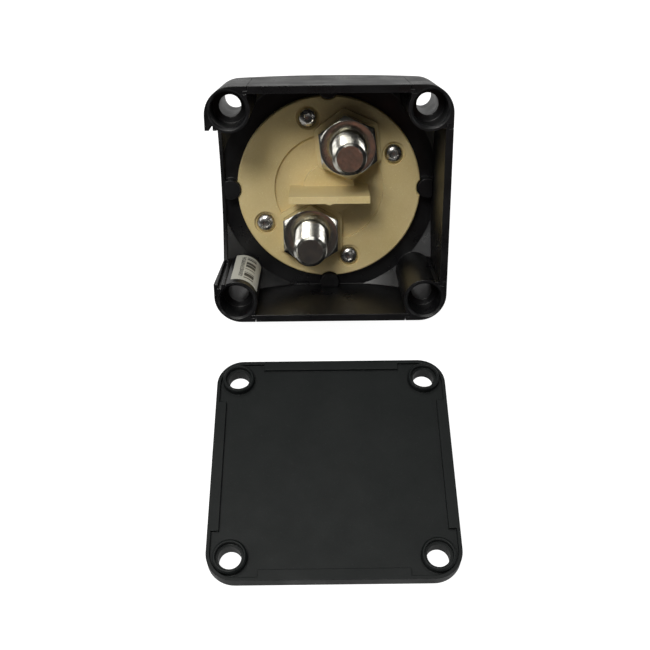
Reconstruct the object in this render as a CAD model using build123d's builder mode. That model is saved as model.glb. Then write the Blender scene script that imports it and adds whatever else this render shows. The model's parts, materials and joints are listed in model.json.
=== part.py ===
"""Battery switch: a square surface-mount on/off switch, seen from its open back, with its cover taken off.

Everything is modelled about the switch's own axis: +Z comes out of the open back, the rim that the
cover closes is at Z = 0, and the knob is on the -Z side. The last section leans the finished pieces
into the stance in which the switch rests on a table, on its front edge and the side of its knob,
lays the cover flat beside it and puts the origin on the table, in the middle of the footprint.
"Depth" always means the distance below the rim.
"""

import os
from copy import copy
from math import acos, atan2, cos, degrees, hypot, radians, sin, sqrt, tan

from build123d import *

# ---------------------------------------------------------------- driving dimensions (mm, degrees)
# Case
CASE_SIZE = 69.0  # across the square rim
CORNER_RADIUS = 8.0
WALL = 1.9
DRAFT_ANGLE = 1.8  # the walls narrow towards the front
EDGE_DEPTH = 34.0  # to the front edge, at the middle of a side
CORNER_DEPTH = 26.0  # to the front edge, at a corner
DOME_WALL = 4.2  # thickness of the domed front, where it closes the corners
EDGE_ROUND = 1.2
FLOOR_DEPTH = 28.4  # to the floor that the contact block sits on
CHAMBER_DEPTH = 37.0  # to the bottom of the round switching chamber
CHAMBER_RADIUS = 24.4

# Corner columns and the holes that the mounting screws pass through
HOLE_PITCH = 56.0
HOLE_RADIUS = 3.15
COLUMN_RADIUS = 6.2
BACK_BORE_RADIUS = 4.95
BACK_BORE_DEPTH = 9.0
BACK_BORE_CHAMFER = 0.6
SPOTFACE_RADIUS = 5.2
SPOTFACE_DEPTH = 27.6

# Side panels, which slide into the walls from the open back
PANEL_WIDTH = 45.0
PANEL_DEPTH_MIDDLE = 27.0
PANEL_DEPTH_END = 23.5
PANEL_INSET = 2.3  # the panel's inner face, in from the rim's outer face
PANEL_CLEARANCE = 0.15
TONGUE_WIDTH = 1.1
TONGUE_THICKNESS = 0.8
TONGUE_INSET = 2.1  # the tongue's inner face, in from the rim's outer face
POST_INSET = 3.3  # thickness of the wall where it holds a panel's edge
POST_WIDTH = 4.0

# Front collar, hub and bearing
COLLAR_RADIUS = 28.4
COLLAR_DEPTH = 41.0
COLLAR_CHAMFER = 0.5
KNOB_RECESS_RADIUS = 22.3
KNOB_RECESS_DEPTH = 39.6
HUB_RADIUS = 13.2
HUB_DEPTH = 51.0
WELL_RADIUS = 10.0
WELL_DEPTH = 46.5
KEYWAY_WIDTH = 3.4
KEYWAY_RADIUS = 11.6
MARK_WIDTH = 4.6
MARK_DEPTH = 0.9
POSITION_PLATE_WIDTH = 4.6
POSITION_PLATE_THICKNESS = 0.6

# Contact block
BLOCK_RADIUS = 28.5
BLOCK_DEPTH = 25.0  # to the block's back face
LUG_RADIUS = 3.0
LUG_CIRCLE = 30.6
LUG_DEPTH = 24.2
LUG_CLEARANCE = 0.25
RECESS_RADIUS = 16.9
RECESS_DEPTH = 0.9
BOSS_RADIUS = 8.0
BOSS_HEIGHT = 1.1
RIB_LENGTH = 24.2
RIB_THICKNESS = 2.2
RIB_DEPTH = 10.0  # to the rib's free edge
NUB_RADIUS = 1.3
NUB_PROUD = 0.4  # how far the nub stands out of the rib's face
SEAT_FLATS = 19.6
SEAT_HEIGHT = 1.3
GASKET_RADIUS = 26.9
GASKET_WIDTH = 1.2
GASKET_THICKNESS = 0.8

# Block screws
SCREW_CIRCLE = 22.7
SCREW_ANGLES = (28.2, 106.0, 208.2, 286.0)
SCREW_SHANK = 1.5
SCREW_HEAD_RADIUS = 2.85
SCREW_HEAD_HEIGHT = 1.9
SCREW_SOCKET_FLATS = 2.5
SCREW_RECESS_RADIUS = 3.6
SCREW_RECESS_DEPTH = 0.9
SCREW_LENGTH = 9.0
SCREW_POST_RADIUS = 3.2

# Terminals
STUD_CIRCLE = 14.83
STUD_ANGLE = 67.0
STUD_RADIUS = 5.0
STUD_NECK_RADIUS = 4.8
STUD_END_DEPTH = 3.0
STUD_CHAMFER = 1.25
STUD_HEAD_FLATS = 16.0
STUD_HEAD_THICKNESS = 2.5
HEAD_POCKET_DEPTH = 1.9
NUT_FLATS = 17.0
NUT_THICKNESS = 5.0
NUT_TURN_UPPER = 6.0
NUT_TURN_LOWER = 0.0
HEX_CORNER_ANGLE = 30.0  # turns a hexagon so that two of its flats face +X and -X

# Contact bridge and the carriage that lifts it
BRIDGE_WIDTH = 13.0
BRIDGE_THICKNESS = 2.4
BRIDGE_OVERHANG = 6.6
PAD_RADIUS = 5.0
PAD_THICKNESS = 0.8
CONTACT_GAP = 2.6  # between pad and stud head, switched off
LIFT = 2.4
CARRIAGE_CLEARANCE = 0.1
CARRIAGE_THICKNESS = 2.2
CARRIAGE_KEY_WIDTH = 3.0
STEM_RADIUS = 2.8
STEM_HEAD_RADIUS = 4.2
STEM_HEAD_THICKNESS = 1.0
FOLLOWER_INNER = 5.6
FOLLOWER_OUTER = 9.2
FOLLOWER_WIDTH = 1.6
SPRING_WIRE = 0.45
SPRING_RADIUS = 6.4
SPRING_TURNS = 2.0

# Rotor, seal, clip and washer
CAM_CLEARANCE = 0.3
CAM_BASE_THICKNESS = 1.6
ROTOR_CLEARANCE = 0.25
SHAFT_RADIUS = 5.0
SHAFT_CLEARANCE = 0.05
SHAFT_FLAT = 3.9  # from the axis to each flat that drives the knob
SHAFT_DEPTH = 60.4
WASHER_THICKNESS = 0.5
SEAL_DEPTH = 48.8
SEAL_WIRE = 0.5
CLIP_DEPTH = 51.2
CLIP_THICKNESS = 0.8
CLIP_RADIUS = 7.2
GROOVE_RADIUS = 4.2

# Knob
KNOB_RADIUS = 21.5
KNOB_START = 41.6
KNOB_REST_DEPTH = 52.7  # to the edge of the skirt, which touches the table
KNOB_PLATE_DEPTH = 55.8
KNOB_PLATE_RADIUS = 19.0
KNOB_INNER_RADIUS = 18.6
KNOB_INNER_DEPTH = 53.0
GRIP_DEPTH = 64.0
GRIP_WIDTH = 11.4
GRIP_FOOT_HALF = 18.4
GRIP_TOP_HALF = 13.6
GRIP_ROUND = 1.6
FLUTE_COUNT = 24
FLUTE_RADIUS = 1.1
FLUTE_CIRCLE = 22.0
KNOB_SCREW_RADIUS = 1.9
KNOB_SCREW_HEAD_RADIUS = 3.6
KNOB_SCREW_HEAD_HEIGHT = 2.0
KNOB_SCREW_LENGTH = 9.0
CAP_RADIUS = 4.3
CAP_THICKNESS = 0.9
POINTER_LENGTH = 5.0
POINTER_WIDTH = 2.4
POINTER_THICKNESS = 0.6

# Back cover
COVER_THICKNESS = 4.3
COVER_EDGE_ROUND = 0.9
COVER_PANEL_DROP = 1.0  # the middle lies this far below the border strips
STRIP_WIDTH = 3.1
STRIP_END = 7.6  # from the corner-hole centre to a strip's end
SPIGOT_RADIUS = 4.75
SPIGOT_HEIGHT = 1.2
SPIGOT_CHAMFER = 0.4
SPIGOT_BORE_RADIUS = 3.9
SPIGOT_BORE_DEPTH = 1.6
COVER_DISTANCE = 58.8  # from the switch's rim centre to the cover's centre, along the table

# Label on one corner column
LABEL_THICKNESS = 0.12
LABEL_START = 3.0
LABEL_FLOOR_GAP = 0.3  # between the label's lower edge and the floor
LABEL_FROM_ANGLE = 20.0
LABEL_TO_ANGLE = 106.0

FIT = 0.1  # gap between pieces that are fixed together but only slip into each other

# ---------------------------------------------------------------- sizes that follow from them
CASE_HALF = CASE_SIZE / 2
HOLE_AT = HOLE_PITCH / 2
FRONT_HALF = CASE_HALF - EDGE_DEPTH * tan(radians(DRAFT_ANGLE))
CORNER_REACH = hypot(1, 1) * (FRONT_HALF - CORNER_RADIUS) + CORNER_RADIUS
DOME_DROP = EDGE_DEPTH - CORNER_DEPTH
EDGE_TO_DOME_CENTRE = ((CORNER_REACH**2 - FRONT_HALF**2) / DOME_DROP + DOME_DROP) / 2
DOME_RADIUS = hypot(EDGE_TO_DOME_CENTRE, FRONT_HALF)
DOME_CENTRE_Z = EDGE_TO_DOME_CENTRE - EDGE_DEPTH
FLOOR_DOME_RADIUS = DOME_RADIUS - DOME_WALL

LABEL_RADIUS = COLUMN_RADIUS + LABEL_THICKNESS + FIT / 2
LABEL_REACH = hypot(  # from the switch's axis to the label's outer edge, where the floor is shallowest
    HOLE_AT - LABEL_RADIUS * cos(radians(LABEL_TO_ANGLE)),
    HOLE_AT - LABEL_RADIUS * sin(radians(LABEL_TO_ANGLE)),
)
LABEL_END = (
    min(FLOOR_DEPTH, sqrt(FLOOR_DOME_RADIUS**2 - LABEL_REACH**2) - DOME_CENTRE_Z) - LABEL_FLOOR_GAP
)

BLOCK_THICKNESS = FLOOR_DEPTH - BLOCK_DEPTH
NUT_BASE = BLOCK_DEPTH - SEAT_HEIGHT
NUT_TOP = NUT_BASE - NUT_THICKNESS
STUD_HEAD_TOP = FLOOR_DEPTH - HEAD_POCKET_DEPTH
STUD_HEAD_BOTTOM = STUD_HEAD_TOP + STUD_HEAD_THICKNESS
PAD_TOP = STUD_HEAD_BOTTOM + CONTACT_GAP
BRIDGE_TOP = PAD_TOP + PAD_THICKNESS
BRIDGE_BOTTOM = BRIDGE_TOP + BRIDGE_THICKNESS
ROTOR_BOTTOM = WELL_DEPTH - WASHER_THICKNESS - FIT / 2
CAM_LOW = ROTOR_BOTTOM - CAM_BASE_THICKNESS  # depth of the cam's eaves
CAM_SLOPE = LIFT / FOLLOWER_INNER
CAM_RADIUS = WELL_RADIUS - ROTOR_CLEARANCE
CAM_RIDGE = CAM_LOW - CAM_SLOPE * CAM_RADIUS
FOLLOWER_BOTTOM = CAM_RIDGE + LIFT - CAM_CLEARANCE
CARRIAGE_BOTTOM = CAM_RIDGE - CAM_CLEARANCE
CARRIAGE_TOP = CARRIAGE_BOTTOM - CARRIAGE_THICKNESS
CARRIAGE_RADIUS = WELL_RADIUS - CARRIAGE_CLEARANCE
FLAT_DEPTH = KNOB_INNER_DEPTH - 2 * FIT  # to where the shaft's two flats begin
STUD_AT = (STUD_CIRCLE * cos(radians(STUD_ANGLE)), STUD_CIRCLE * sin(radians(STUD_ANGLE)))


def round_centre(reach, depth, first_normal, second_normal):
    """Centre of the rounding of an outer edge, as its reach from the axis and its depth.

    The normals of the two faces that meet there are angles from straight outwards, in radians.
    """
    share = EDGE_ROUND / (1 + cos(first_normal - second_normal))
    inwards = share * (cos(first_normal) + cos(second_normal))
    upwards = share * (sin(first_normal) + sin(second_normal))
    return reach - inwards, depth - upwards


# The table touches the rounded front edge of the case and the rounded edge of the knob's skirt,
# which sets how far the axis leans and how high the rim stands.
case_edge = round_centre(
    FRONT_HALF, EDGE_DEPTH, radians(DRAFT_ANGLE), acos(FRONT_HALF / DOME_RADIUS)
)
knob_slope = atan2(KNOB_RADIUS - KNOB_PLATE_RADIUS, KNOB_PLATE_DEPTH - KNOB_REST_DEPTH)
knob_edge = round_centre(KNOB_RADIUS, KNOB_REST_DEPTH, 0, knob_slope)
lean = atan2(knob_edge[1] - case_edge[1], case_edge[0] - knob_edge[0])
RIM_HEIGHT = case_edge[0] * sin(lean) + case_edge[1] * cos(lean) + EDGE_ROUND


def at_depth(depth):
    """The plane across the switch's axis at this depth below the rim."""
    return Plane.XY.offset(-depth)


def hexagon_radius(flats):
    """Distance from centre to corner of a hexagon that measures `flats` across its flats."""
    return flats / 2 / cos(radians(30))


def of_radius(radius):
    """A filter that keeps the circular edges of this radius."""
    return lambda edge: abs(edge.radius - radius) < 0.001


# ---------------------------------------------------------------- the case
with BuildPart() as case_block:  # the outside of the case, solid, with its panels
    with BuildSketch():
        RectangleRounded(CASE_SIZE, CASE_SIZE, CORNER_RADIUS)
    extrude(amount=CASE_SIZE, dir=(0, 0, -1), taper=DRAFT_ANGLE)
    with Locations((0, 0, DOME_CENTRE_Z)):
        Sphere(DOME_RADIUS, mode=Mode.INTERSECT)
    fillet(case_block.faces().filter_by(GeomType.SPHERE).edges(), EDGE_ROUND)

with BuildPart() as panel_window:  # what one side panel takes out of a wall
    with BuildSketch(Plane.XZ.offset(PANEL_INSET - CASE_HALF)):
        with BuildLine():
            Polyline(
                (-PANEL_WIDTH / 2, -PANEL_DEPTH_END),
                (-PANEL_WIDTH / 2, 1),
                (PANEL_WIDTH / 2, 1),
                (PANEL_WIDTH / 2, -PANEL_DEPTH_END),
            )
            ThreePointArc(
                (PANEL_WIDTH / 2, -PANEL_DEPTH_END),
                (0, -PANEL_DEPTH_MIDDLE),
                (-PANEL_WIDTH / 2, -PANEL_DEPTH_END),
            )
        make_face()
    extrude(amount=-2 * PANEL_INSET)
    with BuildSketch(at_depth(PANEL_DEPTH_END)):
        with Locations((0, CASE_HALF - TONGUE_INSET + TONGUE_THICKNESS / 2)):
            Rectangle(
                PANEL_WIDTH + 2 * (TONGUE_WIDTH + PANEL_CLEARANCE),
                TONGUE_THICKNESS + 2 * PANEL_CLEARANCE,
            )
    extrude(amount=PANEL_DEPTH_END + 1)

with BuildPart() as cavity:  # the open back, less the corner columns and the posts beside each panel
    with BuildSketch():
        RectangleRounded(CASE_SIZE - 2 * WALL, CASE_SIZE - 2 * WALL, CORNER_RADIUS - WALL)
        with GridLocations(HOLE_PITCH, HOLE_PITCH, 2, 2):
            Circle(COLUMN_RADIUS, mode=Mode.SUBTRACT)
        for turn in range(4):
            post_x = PANEL_WIDTH / 2 + POST_WIDTH / 2
            with Locations(Location((0, 0, 0), 90 * turn)):
                with Locations((post_x, CASE_HALF), (-post_x, CASE_HALF)):
                    Rectangle(POST_WIDTH, 2 * POST_INSET, mode=Mode.SUBTRACT)
    extrude(amount=-FLOOR_DEPTH)
    # The floor is flat in the middle and follows the domed front up into the corners
    with Locations((0, 0, DOME_CENTRE_Z)):
        Sphere(FLOOR_DOME_RADIUS, mode=Mode.INTERSECT)

with BuildPart() as housing:
    add(case_block.part)
    with BuildSketch(at_depth(FLOOR_DEPTH)):
        Circle(COLLAR_RADIUS)
    extrude(amount=FLOOR_DEPTH - COLLAR_DEPTH)
    collar_rims = housing.edges().filter_by(GeomType.CIRCLE).filter_by(of_radius(COLLAR_RADIUS))
    chamfer(collar_rims.sort_by(Axis.Z)[0], COLLAR_CHAMFER)
    with BuildSketch(at_depth(KNOB_RECESS_DEPTH)):
        Circle(KNOB_RECESS_RADIUS)
    extrude(amount=KNOB_RECESS_DEPTH - COLLAR_DEPTH - 3, mode=Mode.SUBTRACT)
    with BuildSketch(at_depth(COLLAR_DEPTH - POSITION_PLATE_THICKNESS)):
        Circle(KNOB_RECESS_RADIUS + POSITION_PLATE_WIDTH + FIT)
    extrude(amount=-2, mode=Mode.SUBTRACT)
    with BuildSketch(at_depth(FLOOR_DEPTH)):
        Circle(HUB_RADIUS)
    extrude(amount=FLOOR_DEPTH - HUB_DEPTH)

    add(cavity.part, mode=Mode.SUBTRACT)

    # Half-round lugs that key the contact block
    with BuildSketch(at_depth(FLOOR_DEPTH)):
        with PolarLocations(LUG_CIRCLE, 4):
            Circle(LUG_RADIUS)
    extrude(amount=FLOOR_DEPTH - LUG_DEPTH)

    # Switching chamber with its four screw posts, then the well for rotor and carriage
    with BuildSketch(at_depth(FLOOR_DEPTH)):
        Circle(CHAMBER_RADIUS)
        for angle in SCREW_ANGLES:
            with PolarLocations(SCREW_CIRCLE, 1, start_angle=angle):
                Circle(SCREW_POST_RADIUS, mode=Mode.SUBTRACT)
    extrude(amount=FLOOR_DEPTH - CHAMBER_DEPTH, mode=Mode.SUBTRACT)
    with BuildSketch(at_depth(CHAMBER_DEPTH)):
        Circle(WELL_RADIUS)
        Rectangle(2 * KEYWAY_RADIUS, KEYWAY_WIDTH)
    extrude(amount=CHAMBER_DEPTH - WELL_DEPTH, mode=Mode.SUBTRACT)
    with BuildSketch(at_depth(WELL_DEPTH)):
        Circle(SHAFT_RADIUS + SHAFT_CLEARANCE)
    extrude(amount=WELL_DEPTH - HUB_DEPTH, mode=Mode.SUBTRACT)

    # Gasket groove and pilot holes for the block screws
    with BuildSketch(at_depth(FLOOR_DEPTH)):
        Circle(GASKET_RADIUS + GASKET_WIDTH / 2 + FIT)
        Circle(GASKET_RADIUS - GASKET_WIDTH / 2 - FIT, mode=Mode.SUBTRACT)
    extrude(amount=-GASKET_THICKNESS, mode=Mode.SUBTRACT)
    for angle in SCREW_ANGLES:
        with BuildSketch(at_depth(FLOOR_DEPTH)):
            with PolarLocations(SCREW_CIRCLE, 1, start_angle=angle):
                Circle(SCREW_SHANK + FIT)
        extrude(amount=FLOOR_DEPTH - CHAMBER_DEPTH, mode=Mode.SUBTRACT)

    # Mounting holes: counterbored at the back, spot-faced on the domed front
    with BuildSketch():
        with GridLocations(HOLE_PITCH, HOLE_PITCH, 2, 2):
            Circle(HOLE_RADIUS)
    extrude(amount=-CASE_SIZE, mode=Mode.SUBTRACT)
    with BuildSketch():
        with GridLocations(HOLE_PITCH, HOLE_PITCH, 2, 2):
            Circle(BACK_BORE_RADIUS)
    extrude(amount=-BACK_BORE_DEPTH, mode=Mode.SUBTRACT)
    with BuildSketch(at_depth(SPOTFACE_DEPTH)):
        with GridLocations(HOLE_PITCH, HOLE_PITCH, 2, 2):
            Circle(SPOTFACE_RADIUS)
    extrude(amount=-CASE_SIZE, mode=Mode.SUBTRACT)
    bore_rims = housing.edges().filter_by(GeomType.CIRCLE).filter_by(of_radius(BACK_BORE_RADIUS))
    chamfer(bore_rims.group_by(Axis.Z)[-1], BACK_BORE_CHAMFER)

    # Windows and grooves for the four side panels, and a sighting mark on each front edge
    for turn in range(4):
        add(panel_window.part.rotate(Axis.Z, 90 * turn), mode=Mode.SUBTRACT)
        with Locations(Location((0, 0, 0), (0, 0, 90 * turn))):
            with Locations((0, CASE_HALF, -EDGE_DEPTH)):
                Box(MARK_WIDTH, 2 * (CASE_HALF - FRONT_HALF + MARK_DEPTH), 2 * MARK_DEPTH, mode=Mode.SUBTRACT)
housing.part.label = "housing"

with BuildPart() as side_panel:  # the top panel; the others are turned copies
    with BuildSketch(Plane.XZ.offset(PANEL_INSET - PANEL_CLEARANCE - CASE_HALF)):
        half_width = PANEL_WIDTH / 2 - PANEL_CLEARANCE
        with BuildLine():
            Polyline(
                (-half_width, PANEL_CLEARANCE - PANEL_DEPTH_END),
                (-half_width, 0),
                (half_width, 0),
                (half_width, PANEL_CLEARANCE - PANEL_DEPTH_END),
            )
            ThreePointArc(
                (half_width, PANEL_CLEARANCE - PANEL_DEPTH_END),
                (0, PANEL_CLEARANCE - PANEL_DEPTH_MIDDLE),
                (-half_width, PANEL_CLEARANCE - PANEL_DEPTH_END),
            )
        make_face()
    extrude(amount=-2 * PANEL_INSET)
    add(case_block.part, mode=Mode.INTERSECT)
    with BuildSketch():
        with Locations((0, CASE_HALF - TONGUE_INSET + TONGUE_THICKNESS / 2)):
            Rectangle(PANEL_WIDTH + 2 * TONGUE_WIDTH, TONGUE_THICKNESS)
    extrude(amount=PANEL_CLEARANCE - PANEL_DEPTH_END)

panel_turns = {"side_panel_top": 0, "side_panel_bottom": 180, "side_panel_right": 270}
panels = []
for name, turn in panel_turns.items():
    panel = side_panel.part.rotate(Axis.Z, turn)
    panel.label = name
    panels.append(panel)

# ---------------------------------------------------------------- contact block and what fixes it
with BuildPart() as contact_block:
    with BuildSketch(at_depth(FLOOR_DEPTH)):
        Circle(BLOCK_RADIUS)
        with PolarLocations(LUG_CIRCLE, 4):
            Circle(LUG_RADIUS + LUG_CLEARANCE, mode=Mode.SUBTRACT)
    extrude(amount=BLOCK_THICKNESS)
    chamfer(contact_block.faces().sort_by(Axis.Z)[-1].edges(), 0.35)
    with BuildSketch(at_depth(BLOCK_DEPTH)):
        Circle(RECESS_RADIUS)
    extrude(amount=-RECESS_DEPTH, mode=Mode.SUBTRACT)
    with BuildSketch(at_depth(BLOCK_DEPTH + RECESS_DEPTH)):
        Circle(BOSS_RADIUS)
    extrude(amount=RECESS_DEPTH + BOSS_HEIGHT)
    for side, turn in ((1, NUT_TURN_UPPER), (-1, NUT_TURN_LOWER)):
        with BuildSketch(at_depth(BLOCK_DEPTH + RECESS_DEPTH)) as seat_outline:
            with Locations((side * STUD_AT[0], side * STUD_AT[1])):
                RegularPolygon(hexagon_radius(SEAT_FLATS), 6, rotation=HEX_CORNER_ANGLE + turn)
            fillet(seat_outline.vertices(), 1.5)
        extrude(amount=RECESS_DEPTH + SEAT_HEIGHT)
    with BuildSketch(at_depth(BLOCK_DEPTH + RECESS_DEPTH)):
        Rectangle(RIB_LENGTH, RIB_THICKNESS)
        with Locations((0, NUB_RADIUS - NUB_PROUD - RIB_THICKNESS / 2)):
            Circle(NUB_RADIUS)
    extrude(amount=BLOCK_DEPTH + RECESS_DEPTH - RIB_DEPTH)

    # From the front: pockets for the stud heads and the carriage stem, and the stud holes
    for side, turn in ((1, NUT_TURN_UPPER), (-1, NUT_TURN_LOWER)):
        with BuildSketch(at_depth(FLOOR_DEPTH)):
            with Locations((side * STUD_AT[0], side * STUD_AT[1])):
                RegularPolygon(
                    hexagon_radius(STUD_HEAD_FLATS + 2 * FIT), 6, rotation=HEX_CORNER_ANGLE + turn
                )
        extrude(amount=HEAD_POCKET_DEPTH, mode=Mode.SUBTRACT)
        with BuildSketch(at_depth(FLOOR_DEPTH)):
            with Locations((side * STUD_AT[0], side * STUD_AT[1])):
                Circle(STUD_RADIUS + FIT)
        extrude(amount=FLOOR_DEPTH, mode=Mode.SUBTRACT)

    for angle in SCREW_ANGLES:
        with BuildSketch(at_depth(FLOOR_DEPTH)):
            with PolarLocations(SCREW_CIRCLE, 1, start_angle=angle):
                Circle(SCREW_SHANK + FIT)
        extrude(amount=BLOCK_THICKNESS, mode=Mode.SUBTRACT)
        with BuildSketch(at_depth(BLOCK_DEPTH)):
            with PolarLocations(SCREW_CIRCLE, 1, start_angle=angle):
                Circle(SCREW_RECESS_RADIUS)
        extrude(amount=-SCREW_RECESS_DEPTH, mode=Mode.SUBTRACT)
contact_block.part.label = "contact_block"

with BuildPart() as block_screws:
    for angle in SCREW_ANGLES:
        with BuildSketch(at_depth(BLOCK_DEPTH + SCREW_RECESS_DEPTH)):
            with PolarLocations(SCREW_CIRCLE, 1, start_angle=angle):
                Circle(SCREW_HEAD_RADIUS)
        extrude(amount=SCREW_HEAD_HEIGHT)
    chamfer(block_screws.edges().filter_by(GeomType.CIRCLE).group_by(Axis.Z)[-1], 0.9, 1.3)
    for angle in SCREW_ANGLES:
        with BuildSketch(at_depth(BLOCK_DEPTH + SCREW_RECESS_DEPTH)):
            with PolarLocations(SCREW_CIRCLE, 1, start_angle=angle):
                Circle(SCREW_SHANK)
        extrude(amount=-(SCREW_LENGTH - SCREW_RECESS_DEPTH))
        with BuildSketch(at_depth(BLOCK_DEPTH + SCREW_RECESS_DEPTH - SCREW_HEAD_HEIGHT)):
            with PolarLocations(SCREW_CIRCLE, 1, start_angle=angle):
                RegularPolygon(hexagon_radius(SCREW_SOCKET_FLATS), 6)
        extrude(amount=-SCREW_HEAD_HEIGHT * 0.6, mode=Mode.SUBTRACT)
block_screws.part.label = "block_screws"

with BuildPart() as block_gasket:
    with BuildSketch(at_depth(FLOOR_DEPTH)):
        Circle(GASKET_RADIUS + GASKET_WIDTH / 2)
        Circle(GASKET_RADIUS - GASKET_WIDTH / 2, mode=Mode.SUBTRACT)
    extrude(amount=-GASKET_THICKNESS)
block_gasket.part.label = "block_gasket"

# ---------------------------------------------------------------- terminals
terminals = []
for name, side, turn in (("upper", 1, NUT_TURN_UPPER), ("lower", -1, NUT_TURN_LOWER)):
    centre = (side * STUD_AT[0], side * STUD_AT[1])
    with BuildPart() as terminal_stud:
        with BuildSketch(at_depth(STUD_HEAD_BOTTOM)):
            with Locations(centre):
                RegularPolygon(hexagon_radius(STUD_HEAD_FLATS), 6, rotation=HEX_CORNER_ANGLE + turn)
        extrude(amount=STUD_HEAD_THICKNESS)
        with BuildSketch(at_depth(STUD_HEAD_TOP)):
            with Locations(centre):
                Circle(STUD_NECK_RADIUS)
        extrude(amount=STUD_HEAD_TOP - NUT_TOP)
        with BuildSketch(at_depth(NUT_TOP)):
            with Locations(centre):
                Circle(STUD_RADIUS)
        extrude(amount=NUT_TOP - STUD_END_DEPTH)
        chamfer(terminal_stud.faces().sort_by(Axis.Z)[-1].edges(), STUD_CHAMFER)
    terminal_stud.part.label = f"terminal_stud_{name}"

    with BuildPart() as terminal_nut:
        with BuildSketch(at_depth(NUT_BASE)):
            with Locations(centre):
                RegularPolygon(hexagon_radius(NUT_FLATS), 6, rotation=HEX_CORNER_ANGLE + turn)
        extrude(amount=NUT_THICKNESS)
        # A wide cone turned on both faces rounds the corners, as on a cut nut
        with Locations((*centre, -NUT_BASE)):
            Cone(
                hexagon_radius(NUT_FLATS) + NUT_THICKNESS * 1.7,
                NUT_FLATS / 2,
                NUT_THICKNESS,
                align=(Align.CENTER, Align.CENTER, Align.MIN),
                mode=Mode.INTERSECT,
            )
        with BuildSketch(at_depth(NUT_BASE)):
            with Locations(centre):
                Circle(STUD_RADIUS + FIT)
        extrude(amount=NUT_THICKNESS, mode=Mode.SUBTRACT)
        mouth = terminal_nut.edges().filter_by(GeomType.CIRCLE).group_by(Axis.Z)[-1]
        chamfer(mouth.sort_by(SortBy.RADIUS)[0], 0.6)
    terminal_nut.part.label = f"terminal_nut_{name}"
    terminals += [terminal_stud.part, terminal_nut.part]

# ---------------------------------------------------------------- contact bridge and carriage
with BuildPart() as contact_bridge:
    with BuildSketch(Plane.XY.offset(-BRIDGE_BOTTOM).rotated((0, 0, STUD_ANGLE))):
        SlotOverall(2 * (STUD_CIRCLE + BRIDGE_OVERHANG), BRIDGE_WIDTH)
        Circle(STEM_RADIUS + CARRIAGE_CLEARANCE, mode=Mode.SUBTRACT)
    extrude(amount=BRIDGE_THICKNESS)
contact_bridge.part.label = "contact_bridge"

with BuildPart() as contact_pads:
    with BuildSketch(at_depth(BRIDGE_TOP)):
        with PolarLocations(STUD_CIRCLE, 2, start_angle=STUD_ANGLE):
            Circle(PAD_RADIUS)
    extrude(amount=PAD_THICKNESS)
contact_pads.part.label = "contact_pads"

with BuildPart() as bridge_carriage:
    with BuildSketch(at_depth(CARRIAGE_BOTTOM)):
        Circle(CARRIAGE_RADIUS)
        Rectangle(2 * (KEYWAY_RADIUS - CARRIAGE_CLEARANCE), CARRIAGE_KEY_WIDTH)
    extrude(amount=CARRIAGE_THICKNESS)
    with BuildSketch(at_depth(CARRIAGE_BOTTOM)):
        Circle(STEM_RADIUS)
    extrude(amount=CARRIAGE_BOTTOM - BRIDGE_TOP + FIT)
    with BuildSketch(at_depth(FOLLOWER_BOTTOM)):
        follower_centre = (FOLLOWER_INNER + FOLLOWER_OUTER) / 2
        with Locations((follower_centre, 0), (-follower_centre, 0)):
            Rectangle(FOLLOWER_OUTER - FOLLOWER_INNER, FOLLOWER_WIDTH)
    extrude(amount=FOLLOWER_BOTTOM - CARRIAGE_BOTTOM)
bridge_carriage.part.label = "bridge_carriage"

with BuildPart() as stem_clip:  # pressed on the stem, it keeps the bridge on the carriage
    with BuildSketch(at_depth(BRIDGE_TOP - FIT)):
        Circle(STEM_HEAD_RADIUS)
    extrude(amount=STEM_HEAD_THICKNESS)
stem_clip.part.label = "stem_clip"

with BuildPart() as contact_spring:
    spring_space = CARRIAGE_TOP - BRIDGE_BOTTOM
    spring_rise = spring_space - 2 * SPRING_WIRE - FIT
    spring_start = -CARRIAGE_TOP + SPRING_WIRE + FIT / 2
    with BuildLine() as spring_path:
        Helix(
            pitch=spring_rise / SPRING_TURNS,
            height=spring_rise,
            radius=SPRING_RADIUS,
            center=(0, 0, spring_start),
        )
    with BuildSketch(spring_path.line ^ 0):
        Circle(SPRING_WIRE)
    sweep()
contact_spring.part.label = "contact_spring"

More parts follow.
